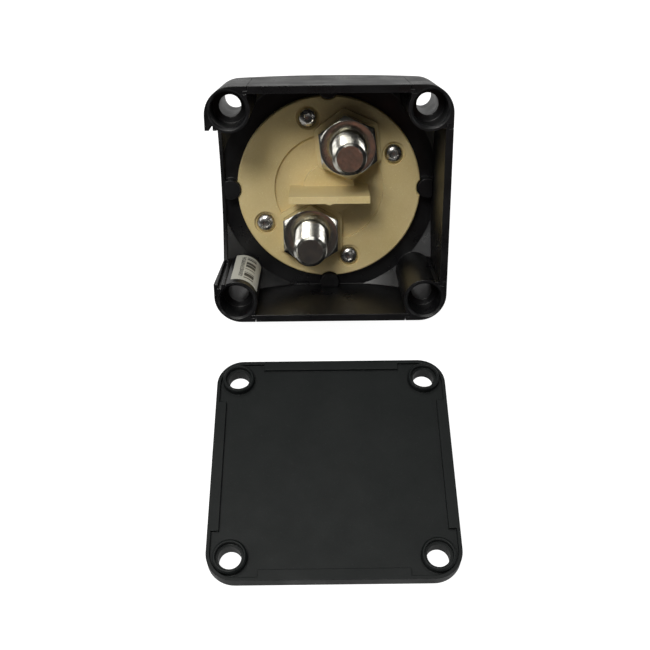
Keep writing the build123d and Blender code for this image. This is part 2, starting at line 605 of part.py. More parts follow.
# ---------------------------------------------------------------- rotor
with BuildPart() as rotor:
    with BuildSketch(at_depth(ROTOR_BOTTOM)):
        Circle(CAM_RADIUS)
    extrude(amount=ROTOR_BOTTOM - CAM_RIDGE)
    # A roof whose ridge runs along Y: turned by a quarter, the ridge lifts the carriage's followers
    with BuildSketch(Plane.XZ):
        with BuildLine():
            Polyline(
                (-CAM_RADIUS, -ROTOR_BOTTOM),
                (-CAM_RADIUS, -CAM_LOW),
                (0, -CAM_RIDGE),
                (CAM_RADIUS, -CAM_LOW),
                (CAM_RADIUS, -ROTOR_BOTTOM),
                close=True,
            )
        make_face()
    extrude(amount=CAM_RADIUS, both=True, mode=Mode.INTERSECT)
    with BuildSketch(at_depth(ROTOR_BOTTOM)):
        Circle(SHAFT_RADIUS)
    extrude(amount=ROTOR_BOTTOM - SHAFT_DEPTH)
    with BuildSketch(at_depth(FLAT_DEPTH)):
        Rectangle(4 * SHAFT_RADIUS, 4 * SHAFT_RADIUS)
        Rectangle(2 * SHAFT_FLAT, 4 * SHAFT_RADIUS, mode=Mode.SUBTRACT)
    extrude(amount=FLAT_DEPTH - SHAFT_DEPTH, mode=Mode.SUBTRACT)
    for groove_depth, groove_height in (
        (CLIP_DEPTH, CLIP_THICKNESS + FIT),
        (SEAL_DEPTH - SEAL_WIRE - FIT / 2, 2 * SEAL_WIRE + FIT),
    ):
        with BuildSketch(at_depth(groove_depth)):
            Circle(2 * SHAFT_RADIUS)
            Circle(SHAFT_RADIUS + SHAFT_CLEARANCE - 2 * SEAL_WIRE - FIT / 2, mode=Mode.SUBTRACT)
        extrude(amount=-groove_height, mode=Mode.SUBTRACT)
    with BuildSketch(at_depth(SHAFT_DEPTH)):
        Circle(KNOB_SCREW_RADIUS + FIT)
    extrude(amount=KNOB_SCREW_LENGTH, mode=Mode.SUBTRACT)
rotor.part.label = "rotor"

with BuildPart() as thrust_washer:
    with BuildSketch(at_depth(WELL_DEPTH)):
        Circle(CAM_RADIUS)
        Circle(SHAFT_RADIUS + FIT, mode=Mode.SUBTRACT)
    extrude(amount=WASHER_THICKNESS)
thrust_washer.part.label = "thrust_washer"

with BuildPart() as shaft_seal:
    with Locations((0, 0, -SEAL_DEPTH)):
        Torus(SHAFT_RADIUS + SHAFT_CLEARANCE / 2 - SEAL_WIRE, SEAL_WIRE)
shaft_seal.part.label = "shaft_seal"

with BuildPart() as shaft_clip:
    with BuildSketch(at_depth(CLIP_DEPTH + FIT / 2)):
        Circle(CLIP_RADIUS)
        Circle(GROOVE_RADIUS, mode=Mode.SUBTRACT)
        with Locations((0, -CLIP_RADIUS)):
            Rectangle(1.5 * GROOVE_RADIUS, 2 * CLIP_RADIUS, mode=Mode.SUBTRACT)
    extrude(amount=-CLIP_THICKNESS)
shaft_clip.part.label = "shaft_clip"

# ---------------------------------------------------------------- knob
with BuildPart() as knob:
    with BuildSketch(Plane.XZ):
        with BuildLine():
            Polyline(
                (0, -KNOB_INNER_DEPTH),
                (KNOB_INNER_RADIUS, -KNOB_INNER_DEPTH),
                (KNOB_INNER_RADIUS, -KNOB_START),
                (KNOB_RADIUS, -KNOB_START),
                (KNOB_RADIUS, -KNOB_REST_DEPTH),
                (KNOB_PLATE_RADIUS, -KNOB_PLATE_DEPTH),
                (0, -KNOB_PLATE_DEPTH),
                close=True,
            )
        make_face()
    revolve(axis=Axis.Z)
    skirt_rims = knob.edges().filter_by(GeomType.CIRCLE).filter_by(of_radius(KNOB_RADIUS))
    fillet(skirt_rims.sort_by(Axis.Z)[0], EDGE_ROUND)
    with BuildSketch(Plane.YZ.offset(-GRIP_WIDTH / 2)):
        with BuildLine():
            Polyline(
                (-GRIP_FOOT_HALF, -KNOB_INNER_DEPTH),
                (-GRIP_FOOT_HALF, -KNOB_PLATE_DEPTH),
                (-GRIP_TOP_HALF, -GRIP_DEPTH),
                (GRIP_TOP_HALF, -GRIP_DEPTH),
                (GRIP_FOOT_HALF, -KNOB_PLATE_DEPTH),
                (GRIP_FOOT_HALF, -KNOB_INNER_DEPTH),
                close=True,
            )
        make_face()
    extrude(amount=GRIP_WIDTH)
    fillet(knob.faces().sort_by(Axis.Z)[0].edges(), GRIP_ROUND)
    with BuildSketch(at_depth(KNOB_START)):
        with PolarLocations(FLUTE_CIRCLE, FLUTE_COUNT):
            Circle(FLUTE_RADIUS)
    extrude(amount=KNOB_START - KNOB_REST_DEPTH + 2 * EDGE_ROUND, mode=Mode.SUBTRACT)
    with BuildSketch(at_depth(KNOB_INNER_DEPTH)):
        Circle(SHAFT_RADIUS + FIT)
        Rectangle(2 * (SHAFT_FLAT + FIT), 4 * SHAFT_RADIUS, mode=Mode.INTERSECT)
    extrude(amount=KNOB_INNER_DEPTH - SHAFT_DEPTH - FIT, mode=Mode.SUBTRACT)
    with BuildSketch(at_depth(SHAFT_DEPTH)):
        Circle(KNOB_SCREW_RADIUS + FIT)
    extrude(amount=-GRIP_DEPTH, mode=Mode.SUBTRACT)
    with BuildSketch(at_depth(GRIP_DEPTH)):
        Circle(CAP_RADIUS + FIT)
    extrude(amount=KNOB_SCREW_HEAD_HEIGHT + CAP_THICKNESS, mode=Mode.SUBTRACT)
    with BuildSketch(at_depth(GRIP_DEPTH)):
        pointer_at = (CAP_RADIUS + GRIP_TOP_HALF) / 2
        with Locations((0, pointer_at)):
            SlotOverall(POINTER_LENGTH + 2 * FIT, POINTER_WIDTH + 2 * FIT, rotation=90)
    extrude(amount=POINTER_THICKNESS, mode=Mode.SUBTRACT)
knob.part.label = "knob"

with BuildPart() as knob_screw:
    with BuildSketch(at_depth(GRIP_DEPTH - CAP_THICKNESS)):
        Circle(KNOB_SCREW_HEAD_RADIUS)
    extrude(amount=KNOB_SCREW_HEAD_HEIGHT)
    with BuildSketch(at_depth(GRIP_DEPTH - CAP_THICKNESS)):
        Circle(KNOB_SCREW_RADIUS)
    extrude(amount=KNOB_SCREW_HEAD_HEIGHT + KNOB_SCREW_LENGTH)
    with BuildSketch(at_depth(GRIP_DEPTH - CAP_THICKNESS)):
        RegularPolygon(hexagon_radius(SCREW_SOCKET_FLATS), 6)
    extrude(amount=KNOB_SCREW_HEAD_HEIGHT / 2, mode=Mode.SUBTRACT)
knob_screw.part.label = "knob_screw"

with BuildPart() as knob_cap:
    with BuildSketch(at_depth(GRIP_DEPTH)):
        Circle(CAP_RADIUS)
    extrude(amount=CAP_THICKNESS - FIT)
knob_cap.part.label = "knob_cap"

with BuildPart() as knob_pointer:
    with BuildSketch(at_depth(GRIP_DEPTH)):
        with Locations((0, pointer_at)):
            SlotOverall(POINTER_LENGTH, POINTER_WIDTH, rotation=90)
    extrude(amount=POINTER_THICKNESS)
knob_pointer.part.label = "knob_pointer"

with BuildPart() as position_plate:
    with BuildSketch(at_depth(COLLAR_DEPTH)):
        Circle(KNOB_RECESS_RADIUS + POSITION_PLATE_WIDTH)
        Circle(KNOB_RECESS_RADIUS, mode=Mode.SUBTRACT)
    extrude(amount=POSITION_PLATE_THICKNESS)
position_plate.part.label = "position_plate"

with BuildPart() as column_label:
    with BuildSketch():
        with BuildLine():
            label_arc = CenterArc(
                (-HOLE_AT, -HOLE_AT), LABEL_RADIUS, LABEL_FROM_ANGLE, LABEL_TO_ANGLE - LABEL_FROM_ANGLE
            )
            inner_arc = CenterArc(
                (-HOLE_AT, -HOLE_AT),
                LABEL_RADIUS - LABEL_THICKNESS,
                LABEL_FROM_ANGLE,
                LABEL_TO_ANGLE - LABEL_FROM_ANGLE,
            )
            Line(label_arc @ 0, inner_arc @ 0)
            Line(label_arc @ 1, inner_arc @ 1)
        make_face()
    extrude(amount=-LABEL_END)
    with BuildSketch():
        Rectangle(2 * CASE_SIZE, 2 * CASE_SIZE)
    extrude(amount=-LABEL_START, mode=Mode.SUBTRACT)
column_label.part.label = "column_label"

# ---------------------------------------------------------------- back cover, shown where it closes
with BuildPart() as back_cover:
    with BuildSketch():
        RectangleRounded(CASE_SIZE, CASE_SIZE, CORNER_RADIUS)
    extrude(amount=COVER_THICKNESS)
    fillet(back_cover.faces().sort_by(Axis.Z)[-1].edges(), COVER_EDGE_ROUND)
    strip_length = HOLE_PITCH - 2 * STRIP_END
    with BuildSketch():  # everything between the border strips is sunk
        RectangleRounded(CASE_SIZE - 2, CASE_SIZE - 2, CORNER_RADIUS - 1)
        for turn in range(4):
            with Locations(Location((0, 0, 0), 90 * turn)):
                with Locations((0, CASE_HALF - STRIP_WIDTH / 2)):
                    Rectangle(strip_length, STRIP_WIDTH, mode=Mode.SUBTRACT)
    extrude(amount=COVER_PANEL_DROP, mode=Mode.SUBTRACT)
    with BuildSketch(Plane.XY.offset(COVER_PANEL_DROP)):
        with GridLocations(HOLE_PITCH, HOLE_PITCH, 2, 2):
            Circle(SPIGOT_RADIUS)
    extrude(amount=-(COVER_PANEL_DROP + SPIGOT_HEIGHT))
    chamfer(back_cover.faces().group_by(Axis.Z)[0].edges(), SPIGOT_CHAMFER)
    with BuildSketch():
        with GridLocations(HOLE_PITCH, HOLE_PITCH, 2, 2):
            Circle(HOLE_RADIUS)
    extrude(amount=CASE_SIZE, both=True, mode=Mode.SUBTRACT)
    with BuildSketch(Plane.XY.offset(-SPIGOT_HEIGHT)):
        with GridLocations(HOLE_PITCH, HOLE_PITCH, 2, 2):
            Circle(SPIGOT_BORE_RADIUS)
    extrude(amount=SPIGOT_BORE_DEPTH, mode=Mode.SUBTRACT)
back_cover.part.label = "back_cover"

# ---------------------------------------------------------------- stance, and one file for each piece
lean_over = Location((0, 0, RIM_HEIGHT), (degrees(lean), 0, 0))
lay_flat = Location((0, -COVER_DISTANCE, COVER_THICKNESS), (180, 0, 0))

switch_pieces = [
    housing.part,
    *panels,
    contact_block.part,
    block_screws.part,
    block_gasket.part,
    *terminals,
    contact_bridge.part,
    contact_pads.part,
    bridge_carriage.part,
    stem_clip.part,
    contact_spring.part,
    rotor.part,
    thrust_washer.part,
    shaft_seal.part,
    shaft_clip.part,
    knob.part,
    knob_screw.part,
    knob_cap.part,
    knob_pointer.part,
    position_plate.part,
    column_label.part,
]
standing = [piece.moved(lean_over) for piece in switch_pieces]
standing.append(back_cover.part.moved(lay_flat))

# The table is at Z = 0, and the origin goes to the middle of the footprint.
overall = Compound(children=[copy(piece) for piece in standing]).bounding_box()
to_origin = Location((0, -overall.center().Y, 0))

os.makedirs("parts", exist_ok=True)
for piece in standing:
    export_step(piece.moved(to_origin), f"parts/{piece.label}.step")
print(f"The axis leans {degrees(lean):.5f} degrees.")
print(f"The rim's centre is at y = {to_origin.position.Y:.5f}, z = {RIM_HEIGHT:.5f}.")
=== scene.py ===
# %% [markdown]
# # A battery switch, opened from the back
# The object is a square battery isolator with a turn knob. It lies tipped on its front edge, so that its
# open back shows the cream contact block and two tinned studs, and its flat cover lies beside it.
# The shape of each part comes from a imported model, which this lesson loads first and never changes. What
# is left for Blender is the fine detail that a maker's drawing leaves out, and every finish.

import json
from math import cos, pi, radians, sin

import bpy
from mathutils import Matrix, Vector


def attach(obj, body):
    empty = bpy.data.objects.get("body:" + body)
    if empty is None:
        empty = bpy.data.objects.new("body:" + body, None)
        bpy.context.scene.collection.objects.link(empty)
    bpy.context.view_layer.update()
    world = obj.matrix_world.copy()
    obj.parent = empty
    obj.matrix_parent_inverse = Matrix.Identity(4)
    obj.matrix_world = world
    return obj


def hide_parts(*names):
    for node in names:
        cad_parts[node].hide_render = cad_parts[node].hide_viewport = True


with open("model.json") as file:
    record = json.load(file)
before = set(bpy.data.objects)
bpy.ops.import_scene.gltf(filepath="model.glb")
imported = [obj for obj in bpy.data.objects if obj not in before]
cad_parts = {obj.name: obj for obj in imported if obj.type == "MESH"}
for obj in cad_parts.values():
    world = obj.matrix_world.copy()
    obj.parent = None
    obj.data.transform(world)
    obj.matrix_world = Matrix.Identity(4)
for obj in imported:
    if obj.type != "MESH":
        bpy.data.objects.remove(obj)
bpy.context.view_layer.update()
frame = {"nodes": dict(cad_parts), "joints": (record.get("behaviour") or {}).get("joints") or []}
nodes = frame["nodes"]

# %% [markdown]
# ## Working about the switch's own axis
# The switch leans, so nothing on it is level. A maker would clamp it square before working on it, and we
# can do the same: the knob's joint gives the centre of the back rim and the axis that comes out of it.
# Each new piece is modelled square on that axis, in millimetres, and leaned over at the end.
# "Depth" means the distance below the rim.

# %% The switch's own directions
MM = 0.001
knob_joint = next(j for j in frame["joints"] if j["name"] == "knob_turn")
rim_centre = Vector(knob_joint["pos_m"])
out_of_back = Vector(knob_joint["axis"]).normalized()
rightwards = Vector((1, 0, 0))
upwards = out_of_back.cross(rightwards)
square_to_switch = Matrix((rightwards, upwards, out_of_back)).transposed().to_4x4()
lean_over = Matrix.Translation(rim_centre) @ square_to_switch
print("rim centre", [round(1000 * c, 2) for c in rim_centre], "axis", [round(c, 3) for c in out_of_back])

# %% [markdown]
# ## The few moves that are used again and again
# Operators act on whatever is selected, so each step starts by letting go of everything. A finished piece
# has its place in its own mesh and its object at the origin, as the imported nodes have. Moving a mesh by a
# matrix does that exactly, and it is shorter than rotating an object and then applying the rotation.

# %% Selecting, and finishing a piece
def let_go():
    """Leaves edit mode and deselects every object."""
    if bpy.context.object and bpy.context.object.mode != "OBJECT":
        bpy.ops.object.mode_set(mode="OBJECT")
    bpy.ops.object.select_all(action="DESELECT")


def take(piece):
    """Makes this object the only selected one, and the active one."""
    let_go()
    piece.select_set(True)
    bpy.context.view_layer.objects.active = piece
    return piece


def name_last(name):
    """Names the object that the last operator added, and its mesh."""
    piece = bpy.context.object
    piece.name = piece.data.name = name
    return piece


def apply_place(piece):
    """Moves the object's place into its mesh, so that the object sits at the origin."""
    bpy.context.view_layer.update()
    piece.data.transform(piece.matrix_world)
    piece.matrix_world = Matrix.Identity(4)
    return piece


def modify(piece, kind, **settings):
    """Adds one modifier and applies it at once."""
    take(piece)
    modifier = piece.modifiers.new(kind.title(), kind)
    for setting, value in settings.items():
        setattr(modifier, setting, value)
    bpy.ops.object.modifier_apply(modifier=modifier.name)
    return piece


def tidy_skin(piece, merge=0.002 * MM):
    """Merges doubles and turns every face outwards."""
    take(piece)
    bpy.ops.object.mode_set(mode="EDIT")
    bpy.ops.mesh.select_all(action="SELECT")
    bpy.ops.mesh.remove_doubles(threshold=merge)
    bpy.ops.mesh.normals_make_consistent(inside=False)
    bpy.ops.object.mode_set(mode="OBJECT")
    return piece


def cut_with(piece, tool, operation):
    """A Boolean with a tool that is used up."""
    modify(piece, "BOOLEAN", object=tool, operation=operation, solver="EXACT")
    bpy.data.objects.remove(tool)
    return piece


def turned(name, outline, steps=64, ring=False):
    """A lathe: (radius, depth) points in millimetres, drawn from one vertex and spun about the axis."""
    let_go()
    bpy.ops.mesh.primitive_plane_add(size=MM, location=(0, 0, 0))
    piece = name_last(name)
    bpy.ops.object.mode_set(mode="EDIT")
    bpy.ops.mesh.select_all(action="SELECT")
    bpy.ops.mesh.merge(type="CENTER")
    radius, depth = outline[0]
    bpy.ops.transform.translate(value=(radius * MM, 0, -depth * MM))
    for (r0, d0), (r1, d1) in zip(outline, outline[1:] + outline[:1] * ring):
        step = ((r1 - r0) * MM, 0, (d0 - d1) * MM)
        bpy.ops.mesh.extrude_region_move(TRANSFORM_OT_translate={"value": step})
    bpy.ops.mesh.select_all(action="SELECT")
    bpy.ops.mesh.spin(steps=steps, angle=2 * pi, center=(0, 0, 0), axis=(0, 0, 1), use_auto_merge=True)
    bpy.ops.object.mode_set(mode="OBJECT")
    return tidy_skin(piece)


def prism(name, flats, from_depth, to_depth):
    """A hexagonal bar with two of its flats facing left and right."""
    let_go()
    bpy.ops.mesh.primitive_cylinder_add(
        vertices=6,
        radius=flats / 2 / cos(radians(30)) * MM,
        depth=abs(to_depth - from_depth) * MM,
        location=(0, 0, -(from_depth + to_depth) / 2 * MM),
    )
    return apply_place(name_last(name))


def finish_piece(piece, body, slot, material, *stands_for, smooth=35):
    """Smooths, paints and registers a finished piece."""
    take(piece)
    bpy.ops.object.shade_smooth_by_angle(angle=radians(smooth))
    piece.data.materials.clear()
    piece.data.materials.append(material)
    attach(piece, body)
    if stands_for:
        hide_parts(*stands_for)
    print(f"{piece.name}: {len(piece.data.polygons)} faces")
    return piece

# %% [markdown]
# ## Writing shader maths as plain arithmetic
# A finish is a small sum: a base colour, plus a little mottling, minus what has been rubbed off. Nodes
# wired one by one hide that sum. This class wraps a socket, so that `0.4 + 0.2 * noise` adds the Math
# nodes itself. The number comes first as often as last, so each operator also has its reflected form.

# %% A socket that can be added and multiplied
class Value:
    """A node's output, with arithmetic."""

    def __init__(self, shop, socket):
        self.shop, self.socket = shop, socket

    def __add__(self, other):
        return self.shop.maths("ADD", self, other)

    def __sub__(self, other):
        return self.shop.maths("SUBTRACT", self, other)

    def __mul__(self, other):
        return self.shop.maths("MULTIPLY", self, other)

    __radd__ = __add__
    __rmul__ = __mul__

    def __rsub__(self, other):
        return self.shop.maths("SUBTRACT", other, self)

    def __gt__(self, other):
        return self.shop.maths("GREATER_THAN", self, other)

    def __lt__(self, other):
        return self.shop.maths("LESS_THAN", self, other)

    def __abs__(self):
        return self.shop.maths("ABSOLUTE", self)


def with_alpha(colour):
    """A colour socket takes four numbers; a link passes through as it is."""
    return (*colour, 1) if isinstance(colour, tuple) else colour


class Finish:
    """One material, and the nodes that make it."""

    def __init__(self, name):
        self.material = bpy.data.materials.new(name)
        self.material.use_nodes = True
        self.tree = self.material.node_tree
        self.shader = self.tree.nodes["Principled BSDF"]
        self.place = self.node("ShaderNodeTexCoord", output="Object")

    def node(self, kind, settings=None, inputs=None, output=0):
        """Adds a node, sets it up, then gives its sockets their values or links."""
        made = self.tree.nodes.new(kind)
        for setting, value in (settings or {}).items():
            if setting == "stops":
                ramp = made.color_ramp
                while len(ramp.elements) > 1:
                    ramp.elements.remove(ramp.elements[-1])
                ramp.elements[0].position, ramp.elements[0].color = value[0]
                for position, colour in value[1:]:
                    ramp.elements.new(position).color = colour
            else:
                setattr(made, setting, value)
        for key, value in (inputs or {}).items():
            self.feed(made.inputs[key], value)
        return Value(self, made.outputs[output])

    def feed(self, socket, value):
        if isinstance(value, Value):
            self.tree.links.new(value.socket, socket)
        else:
            socket.default_value = value

    def maths(self, operation, first, second=0.0):
        return self.node("ShaderNodeMath", {"operation": operation}, {0: first, 1: second})

    def set(self, **sockets):
        """Sets or links the shader's sockets; an underscore stands for a space."""
        for key, value in sockets.items():
            self.feed(self.shader.inputs[key.replace("_", " ")], value)
        return self

    def noise(self, size_mm, detail=3.0, roughness=0.55):
        """Soft noise between 0 and 1 whose blotches are about this many millimetres across."""
        return self.node(
            "ShaderNodeTexNoise",
            {"noise_dimensions": "3D"},
            {
                "Vector": self.place,
                "Scale": 1000 / size_mm,
                "Detail": detail,
                "Roughness": roughness,
            },
        )

    def ramp(self, value, low, high, from_value=0.0, to_value=1.0):
        """Carries a value from low...high over to other limits, and clamps it."""
        return self.node(
            "ShaderNodeMapRange",
            {"clamp": True},
            {"Value": value, 1: low, 2: high, 3: from_value, 4: to_value},
        )

    def blend(self, mask, dark, light):
        """A colour between two, by a mask."""
        return self.node(
            "ShaderNodeMix",
            {"data_type": "RGBA"},
            {0: mask, 6: with_alpha(dark), 7: with_alpha(light)},
            output=2,
        )

    def bump(self, height, depth_mm, soften_mm=0.0):
        """A surface that rises by this much where height is 1. A soft edge radius rounds sharp corners."""
        inputs = {"Height": height, "Distance": depth_mm * MM, "Strength": 1.0}
        if soften_mm:
            inputs["Normal"] = self.node("ShaderNodeBevel", {"samples": 6}, {"Radius": soften_mm * MM})
        return self.node("ShaderNodeBump", {}, inputs)

    def along(self, direction, origin=(0, 0, 0)):
        """Distance of a point from an origin along a direction, in millimetres."""
        moved = self.node(
            "ShaderNodeVectorMath", {"operation": "SUBTRACT"}, {0: self.place, 1: tuple(origin)}
        )
        dot = self.node(
            "ShaderNodeVectorMath",
            {"operation": "DOT_PRODUCT"},
            {0: moved, 1: tuple(direction)},
            output="Value",
        )
        return 1000.0 * dot

print("arithmetic on sockets is ready")

# %% [markdown]
# ## Plastics
# The case is moulded in black nylon with a fine spark-eroded skin, and the cover in the same plastic with
# a slightly coarser, greyer skin. A flat black would look like a hole in the picture, so the tint drifts
# a little, handling has polished some patches, and fine dust sits in the grain. The corners of a moulding
# are never sharp: a Bevel node rounds them in the shading, which is enough at this size and keeps the
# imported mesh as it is.

# %% Black, charcoal, cream, red and white mouldings
def moulded(name, dark, light, rough, grain_mm, grain_depth, edge_mm, patch=0.12, **extra):
    """A moulded plastic: drifting tint, grained skin, rubbed patches and rounded corners."""
    finish = Finish(name)
    grain = finish.noise(grain_mm, detail=2.0)
    drift = finish.noise(14, detail=4.0)
    handled = finish.ramp(finish.noise(9, detail=5.0, roughness=0.6), 0.42, 0.66)
    specks = finish.ramp(finish.noise(0.35, detail=1.0), 0.68, 0.76)
    tint = finish.blend(finish.ramp(drift + 0.35 * (grain - 0.5), 0.3, 0.7), dark, light)
    dusty = tuple(min(1.0, c * 1.6 + 0.01) for c in light)
    finish.set(
        Base_Color=finish.blend(0.5 * specks, tint, dusty),
        Roughness=rough + 0.08 * (grain - 0.5) - patch * handled,
        Normal=finish.bump(grain, grain_depth, edge_mm),
        **extra,
    )
    return finish.material


black_plastic = moulded(
    "moulded_black", (0.0025, 0.0025, 0.003), (0.006, 0.006, 0.007), 0.38, 0.45, 0.008, 0.35
)
cover_plastic = moulded(
    "moulded_charcoal", (0.004, 0.006, 0.006), (0.008, 0.010, 0.010), 0.50, 0.38, 0.018, 0.25,
    Specular_IOR_Level=0.3,
)
cream_plastic = moulded(
    "moulded_cream", (0.67, 0.53, 0.25), (0.75, 0.61, 0.32), 0.46, 0.6, 0.008, 0.25,
    Subsurface_Weight=0.12, Subsurface_Radius=(0.004, 0.0025, 0.0012), Subsurface_Scale=0.4,
)
red_plastic = moulded("moulded_red", (0.42, 0.012, 0.010), (0.52, 0.020, 0.014), 0.36, 0.6, 0.010, 0.35)
white_plastic = moulded("moulded_white", (0.70, 0.70, 0.68), (0.78, 0.78, 0.76), 0.40, 0.5, 0.006, 0.15)
black_rubber = moulded("black_rubber", (0.010, 0.010, 0.010), (0.018, 0.018, 0.018), 0.68, 0.3, 0.012, 0.1)
print("six mouldings")

# %% [markdown]
# ## Metals
# The studs and nuts are tin-plated: bright, with cloudy patches where the plating is thicker and tiny
# pits. The block's screws are stainless, the bridge is bare copper that has begun to brown, and the pads
# are silver. What tells metals apart is their colour and how evenly they shine, so one recipe with a few
# numbers serves for them all.

# %% Tin plate, stainless, copper, silver and spring steel
def metal(name, colour, cloudy, rough, rough_drift, pit_mm, pit_depth, edge_mm=0.12):
    """A bare or plated metal: cloudy tint, uneven gloss, pits and rounded edges."""
    finish = Finish(name)
    clouds = finish.noise(2.6, detail=5.0, roughness=0.65)
    pits = finish.noise(pit_mm, detail=3.0)
    finish.set(
        Base_Color=finish.blend(finish.ramp(clouds, 0.35, 0.65), cloudy, colour),
        Metallic=1.0,
        Roughness=finish.ramp(clouds, 0.3, 0.7, rough + rough_drift, rough) + 0.10 * (pits - 0.5),
        Normal=finish.bump(pits, pit_depth, edge_mm),
    )
    return finish.material


tin_plate = metal("tin_plate", (0.82, 0.80, 0.74), (0.62, 0.60, 0.52), 0.13, 0.14, 0.7, 0.014, 0.05)
stainless = metal("stainless_steel", (0.62, 0.61, 0.58), (0.50, 0.49, 0.47), 0.22, 0.08, 0.35, 0.006)
copper = metal("copper", (0.86, 0.46, 0.32), (0.55, 0.26, 0.18), 0.26, 0.14, 0.5, 0.006)
silver = metal("silver_contact", (0.90, 0.89, 0.86), (0.74, 0.73, 0.70), 0.22, 0.12, 0.5, 0.004)
spring_steel = metal("spring_steel", (0.48, 0.48, 0.49), (0.36, 0.36, 0.37), 0.26, 0.10, 0.3, 0.003)
print("five metals")

# %% [markdown]
# ## Paper label and printed plate
# The label on one column carries a bar pattern and a line of small print. Real lettering would be someone's
# data, so the print is only blocks. Both follow the column: how far round a point is comes from its
# angle about the column's axis, and how far down from its depth.

# %% A label with plain bars
COLUMN_AT = 28.0  # of the switch's middle, both ways
LABEL_RADIUS = 6.21
BARS_PER_MM, PRINT_PER_MM, LETTERS_PER_MM, PRINT_PER_DEGREE = 1.9, 4.0, 1.35, 0.42
BARS_ROUND, PRINT_ROUND = (42.0, 72.0), (76.0, 87.0)  # degrees about the column
BARS_DOWN, PRINT_DOWN = (5.0, 24.3), (5.5, 24.0)  # depths


def paper_label():
    finish = Finish("printed_label")
    x = finish.along(rightwards, rim_centre) + COLUMN_AT
    y = finish.along(upwards, rim_centre) + COLUMN_AT
    depth = 0.0 - finish.along(out_of_back, rim_centre)
    turn = finish.maths("ARCTAN2", y, x) * (180 / pi)

    def within(value, limits):
        return (value > limits[0]) * (value < limits[1])

    # Bars of uneven width, from a random value for each step of the depth
    cell = finish.maths("FLOOR", depth * BARS_PER_MM)
    chance = finish.node("ShaderNodeTexWhiteNoise", {"noise_dimensions": "1D"}, {"W": cell})
    bars = (chance > 0.42) * within(depth, BARS_DOWN) * within(turn, BARS_ROUND)
    # Small print: a row of blocks with gaps
    strokes = finish.node("ShaderNodeCombineXYZ", {}, {
        0: finish.maths("FLOOR", depth * PRINT_PER_MM),
        1: finish.maths("FLOOR", turn * PRINT_PER_DEGREE),
    })
    stroke = finish.node("ShaderNodeTexWhiteNoise", {"noise_dimensions": "2D"}, {"Vector": strokes})
    gap = finish.maths("FRACT", depth * LETTERS_PER_MM) > 0.2
    small_print = gap * (stroke > 0.35) * within(depth, PRINT_DOWN) * within(turn, PRINT_ROUND)
    ink = finish.maths("MAXIMUM", bars, small_print)
    fibre = finish.noise(0.3, detail=2.0)
    paper = finish.blend(finish.noise(8, detail=3.0), (0.56, 0.56, 0.50), (0.70, 0.69, 0.62))
    finish.set(
        Base_Color=finish.blend(0.95 * ink, paper, (0.015, 0.015, 0.015)),
        Roughness=0.42 + 0.1 * fibre,
        Normal=finish.bump(fibre, 0.006),
    )
    return finish.material


label_paper = paper_label()

# %% [markdown]
# The ring behind the knob shows where "off" and "on" are. A plain O and I, with a tick at each quarter,
# say it without words.

# %% A position plate with O and I
PLATE_MIDDLE = 24.6  # radius of the circle that the marks stand on
O_RADIUS, I_HALF_HEIGHT, HALF_STROKE = 1.15, 1.35, 0.26
TICK_HALF_LENGTH, TICK_HALF_WIDTH = 0.6, 0.18


def position_print():
    finish = Finish("position_print")
    x = finish.along(rightwards, rim_centre)
    y = finish.along(upwards, rim_centre)

    def mark_place(angle):
        """Distances from a mark's centre: outwards, and across."""
        a = radians(angle)
        return (x * cos(a) + y * sin(a)) - PLATE_MIDDLE, y * cos(a) - x * sin(a)

    out, side = mark_place(90)
    ring = abs(finish.maths("SQRT", out * out + side * side) - O_RADIUS) < HALF_STROKE
    out, side = mark_place(180)
    bar = (abs(out) < I_HALF_HEIGHT) * (abs(side) < HALF_STROKE)
    ink = finish.maths("MAXIMUM", ring, bar)
    for angle in (45, 135, 225, 315):
        out, side = mark_place(angle)
        tick = (abs(out) < TICK_HALF_LENGTH) * (abs(side) < TICK_HALF_WIDTH)
        ink = finish.maths("MAXIMUM", ink, tick)
    grain = finish.noise(0.5, detail=2.0)
    base = finish.blend(finish.noise(9, detail=4.0), (0.66, 0.66, 0.64), (0.76, 0.76, 0.74))
    finish.set(
        Base_Color=finish.blend(ink, base, (0.02, 0.02, 0.02)),
        Roughness=0.38 + 0.1 * grain,
        Normal=finish.bump(grain, 0.005, 0.1),
    )
    return finish.material


plate_print = position_print()
print("two printed finishes")

# %% [markdown]
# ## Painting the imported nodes
# Most nodes already have the right shape, so they only need their finish. The list says which is which,
# and the loop gives every material slot of a node that finish.

# %% Finishes of the nodes that stay
finishes = {
    black_plastic: ["housing", "side_panel_top", "side_panel_bottom", "side_panel_right"],
    cover_plastic: ["back_cover"],
    cream_plastic: ["contact_block"],
    white_plastic: ["bridge_carriage", "rotor", "knob_pointer"],
    black_rubber: ["block_gasket", "shaft_seal"],
    copper: ["contact_bridge"],
    silver: ["contact_pads"],
    spring_steel: ["contact_spring", "stem_clip", "shaft_clip"],
    stainless: ["thrust_washer", "knob_screw"],
    red_plastic: ["knob", "knob_cap"],
    plate_print: ["position_plate"],
}
for material, names in finishes.items():
    for name in names:
        node = nodes[name]
        if not node.data.materials:
            node.data.materials.append(material)
        for slot in node.material_slots:
            slot.material = material
print(sum(len(names) for names in finishes.values()), "nodes painted")

# %% [markdown]
# ## Terminal studs
# Each stud is an M10 bolt: a hexagonal head caught under the block, and a rolled thread of 1.5 mm pitch
# whose end is turned to a broad chamfer. A thread could be a bump pattern, but its outline would stay
# straight. Here one turn of the profile is drawn and a Screw modifier winds it up, the ends are bisected
# and filled, and a lathe-turned blank cuts the chamfer, just as a die follows a turned blank.

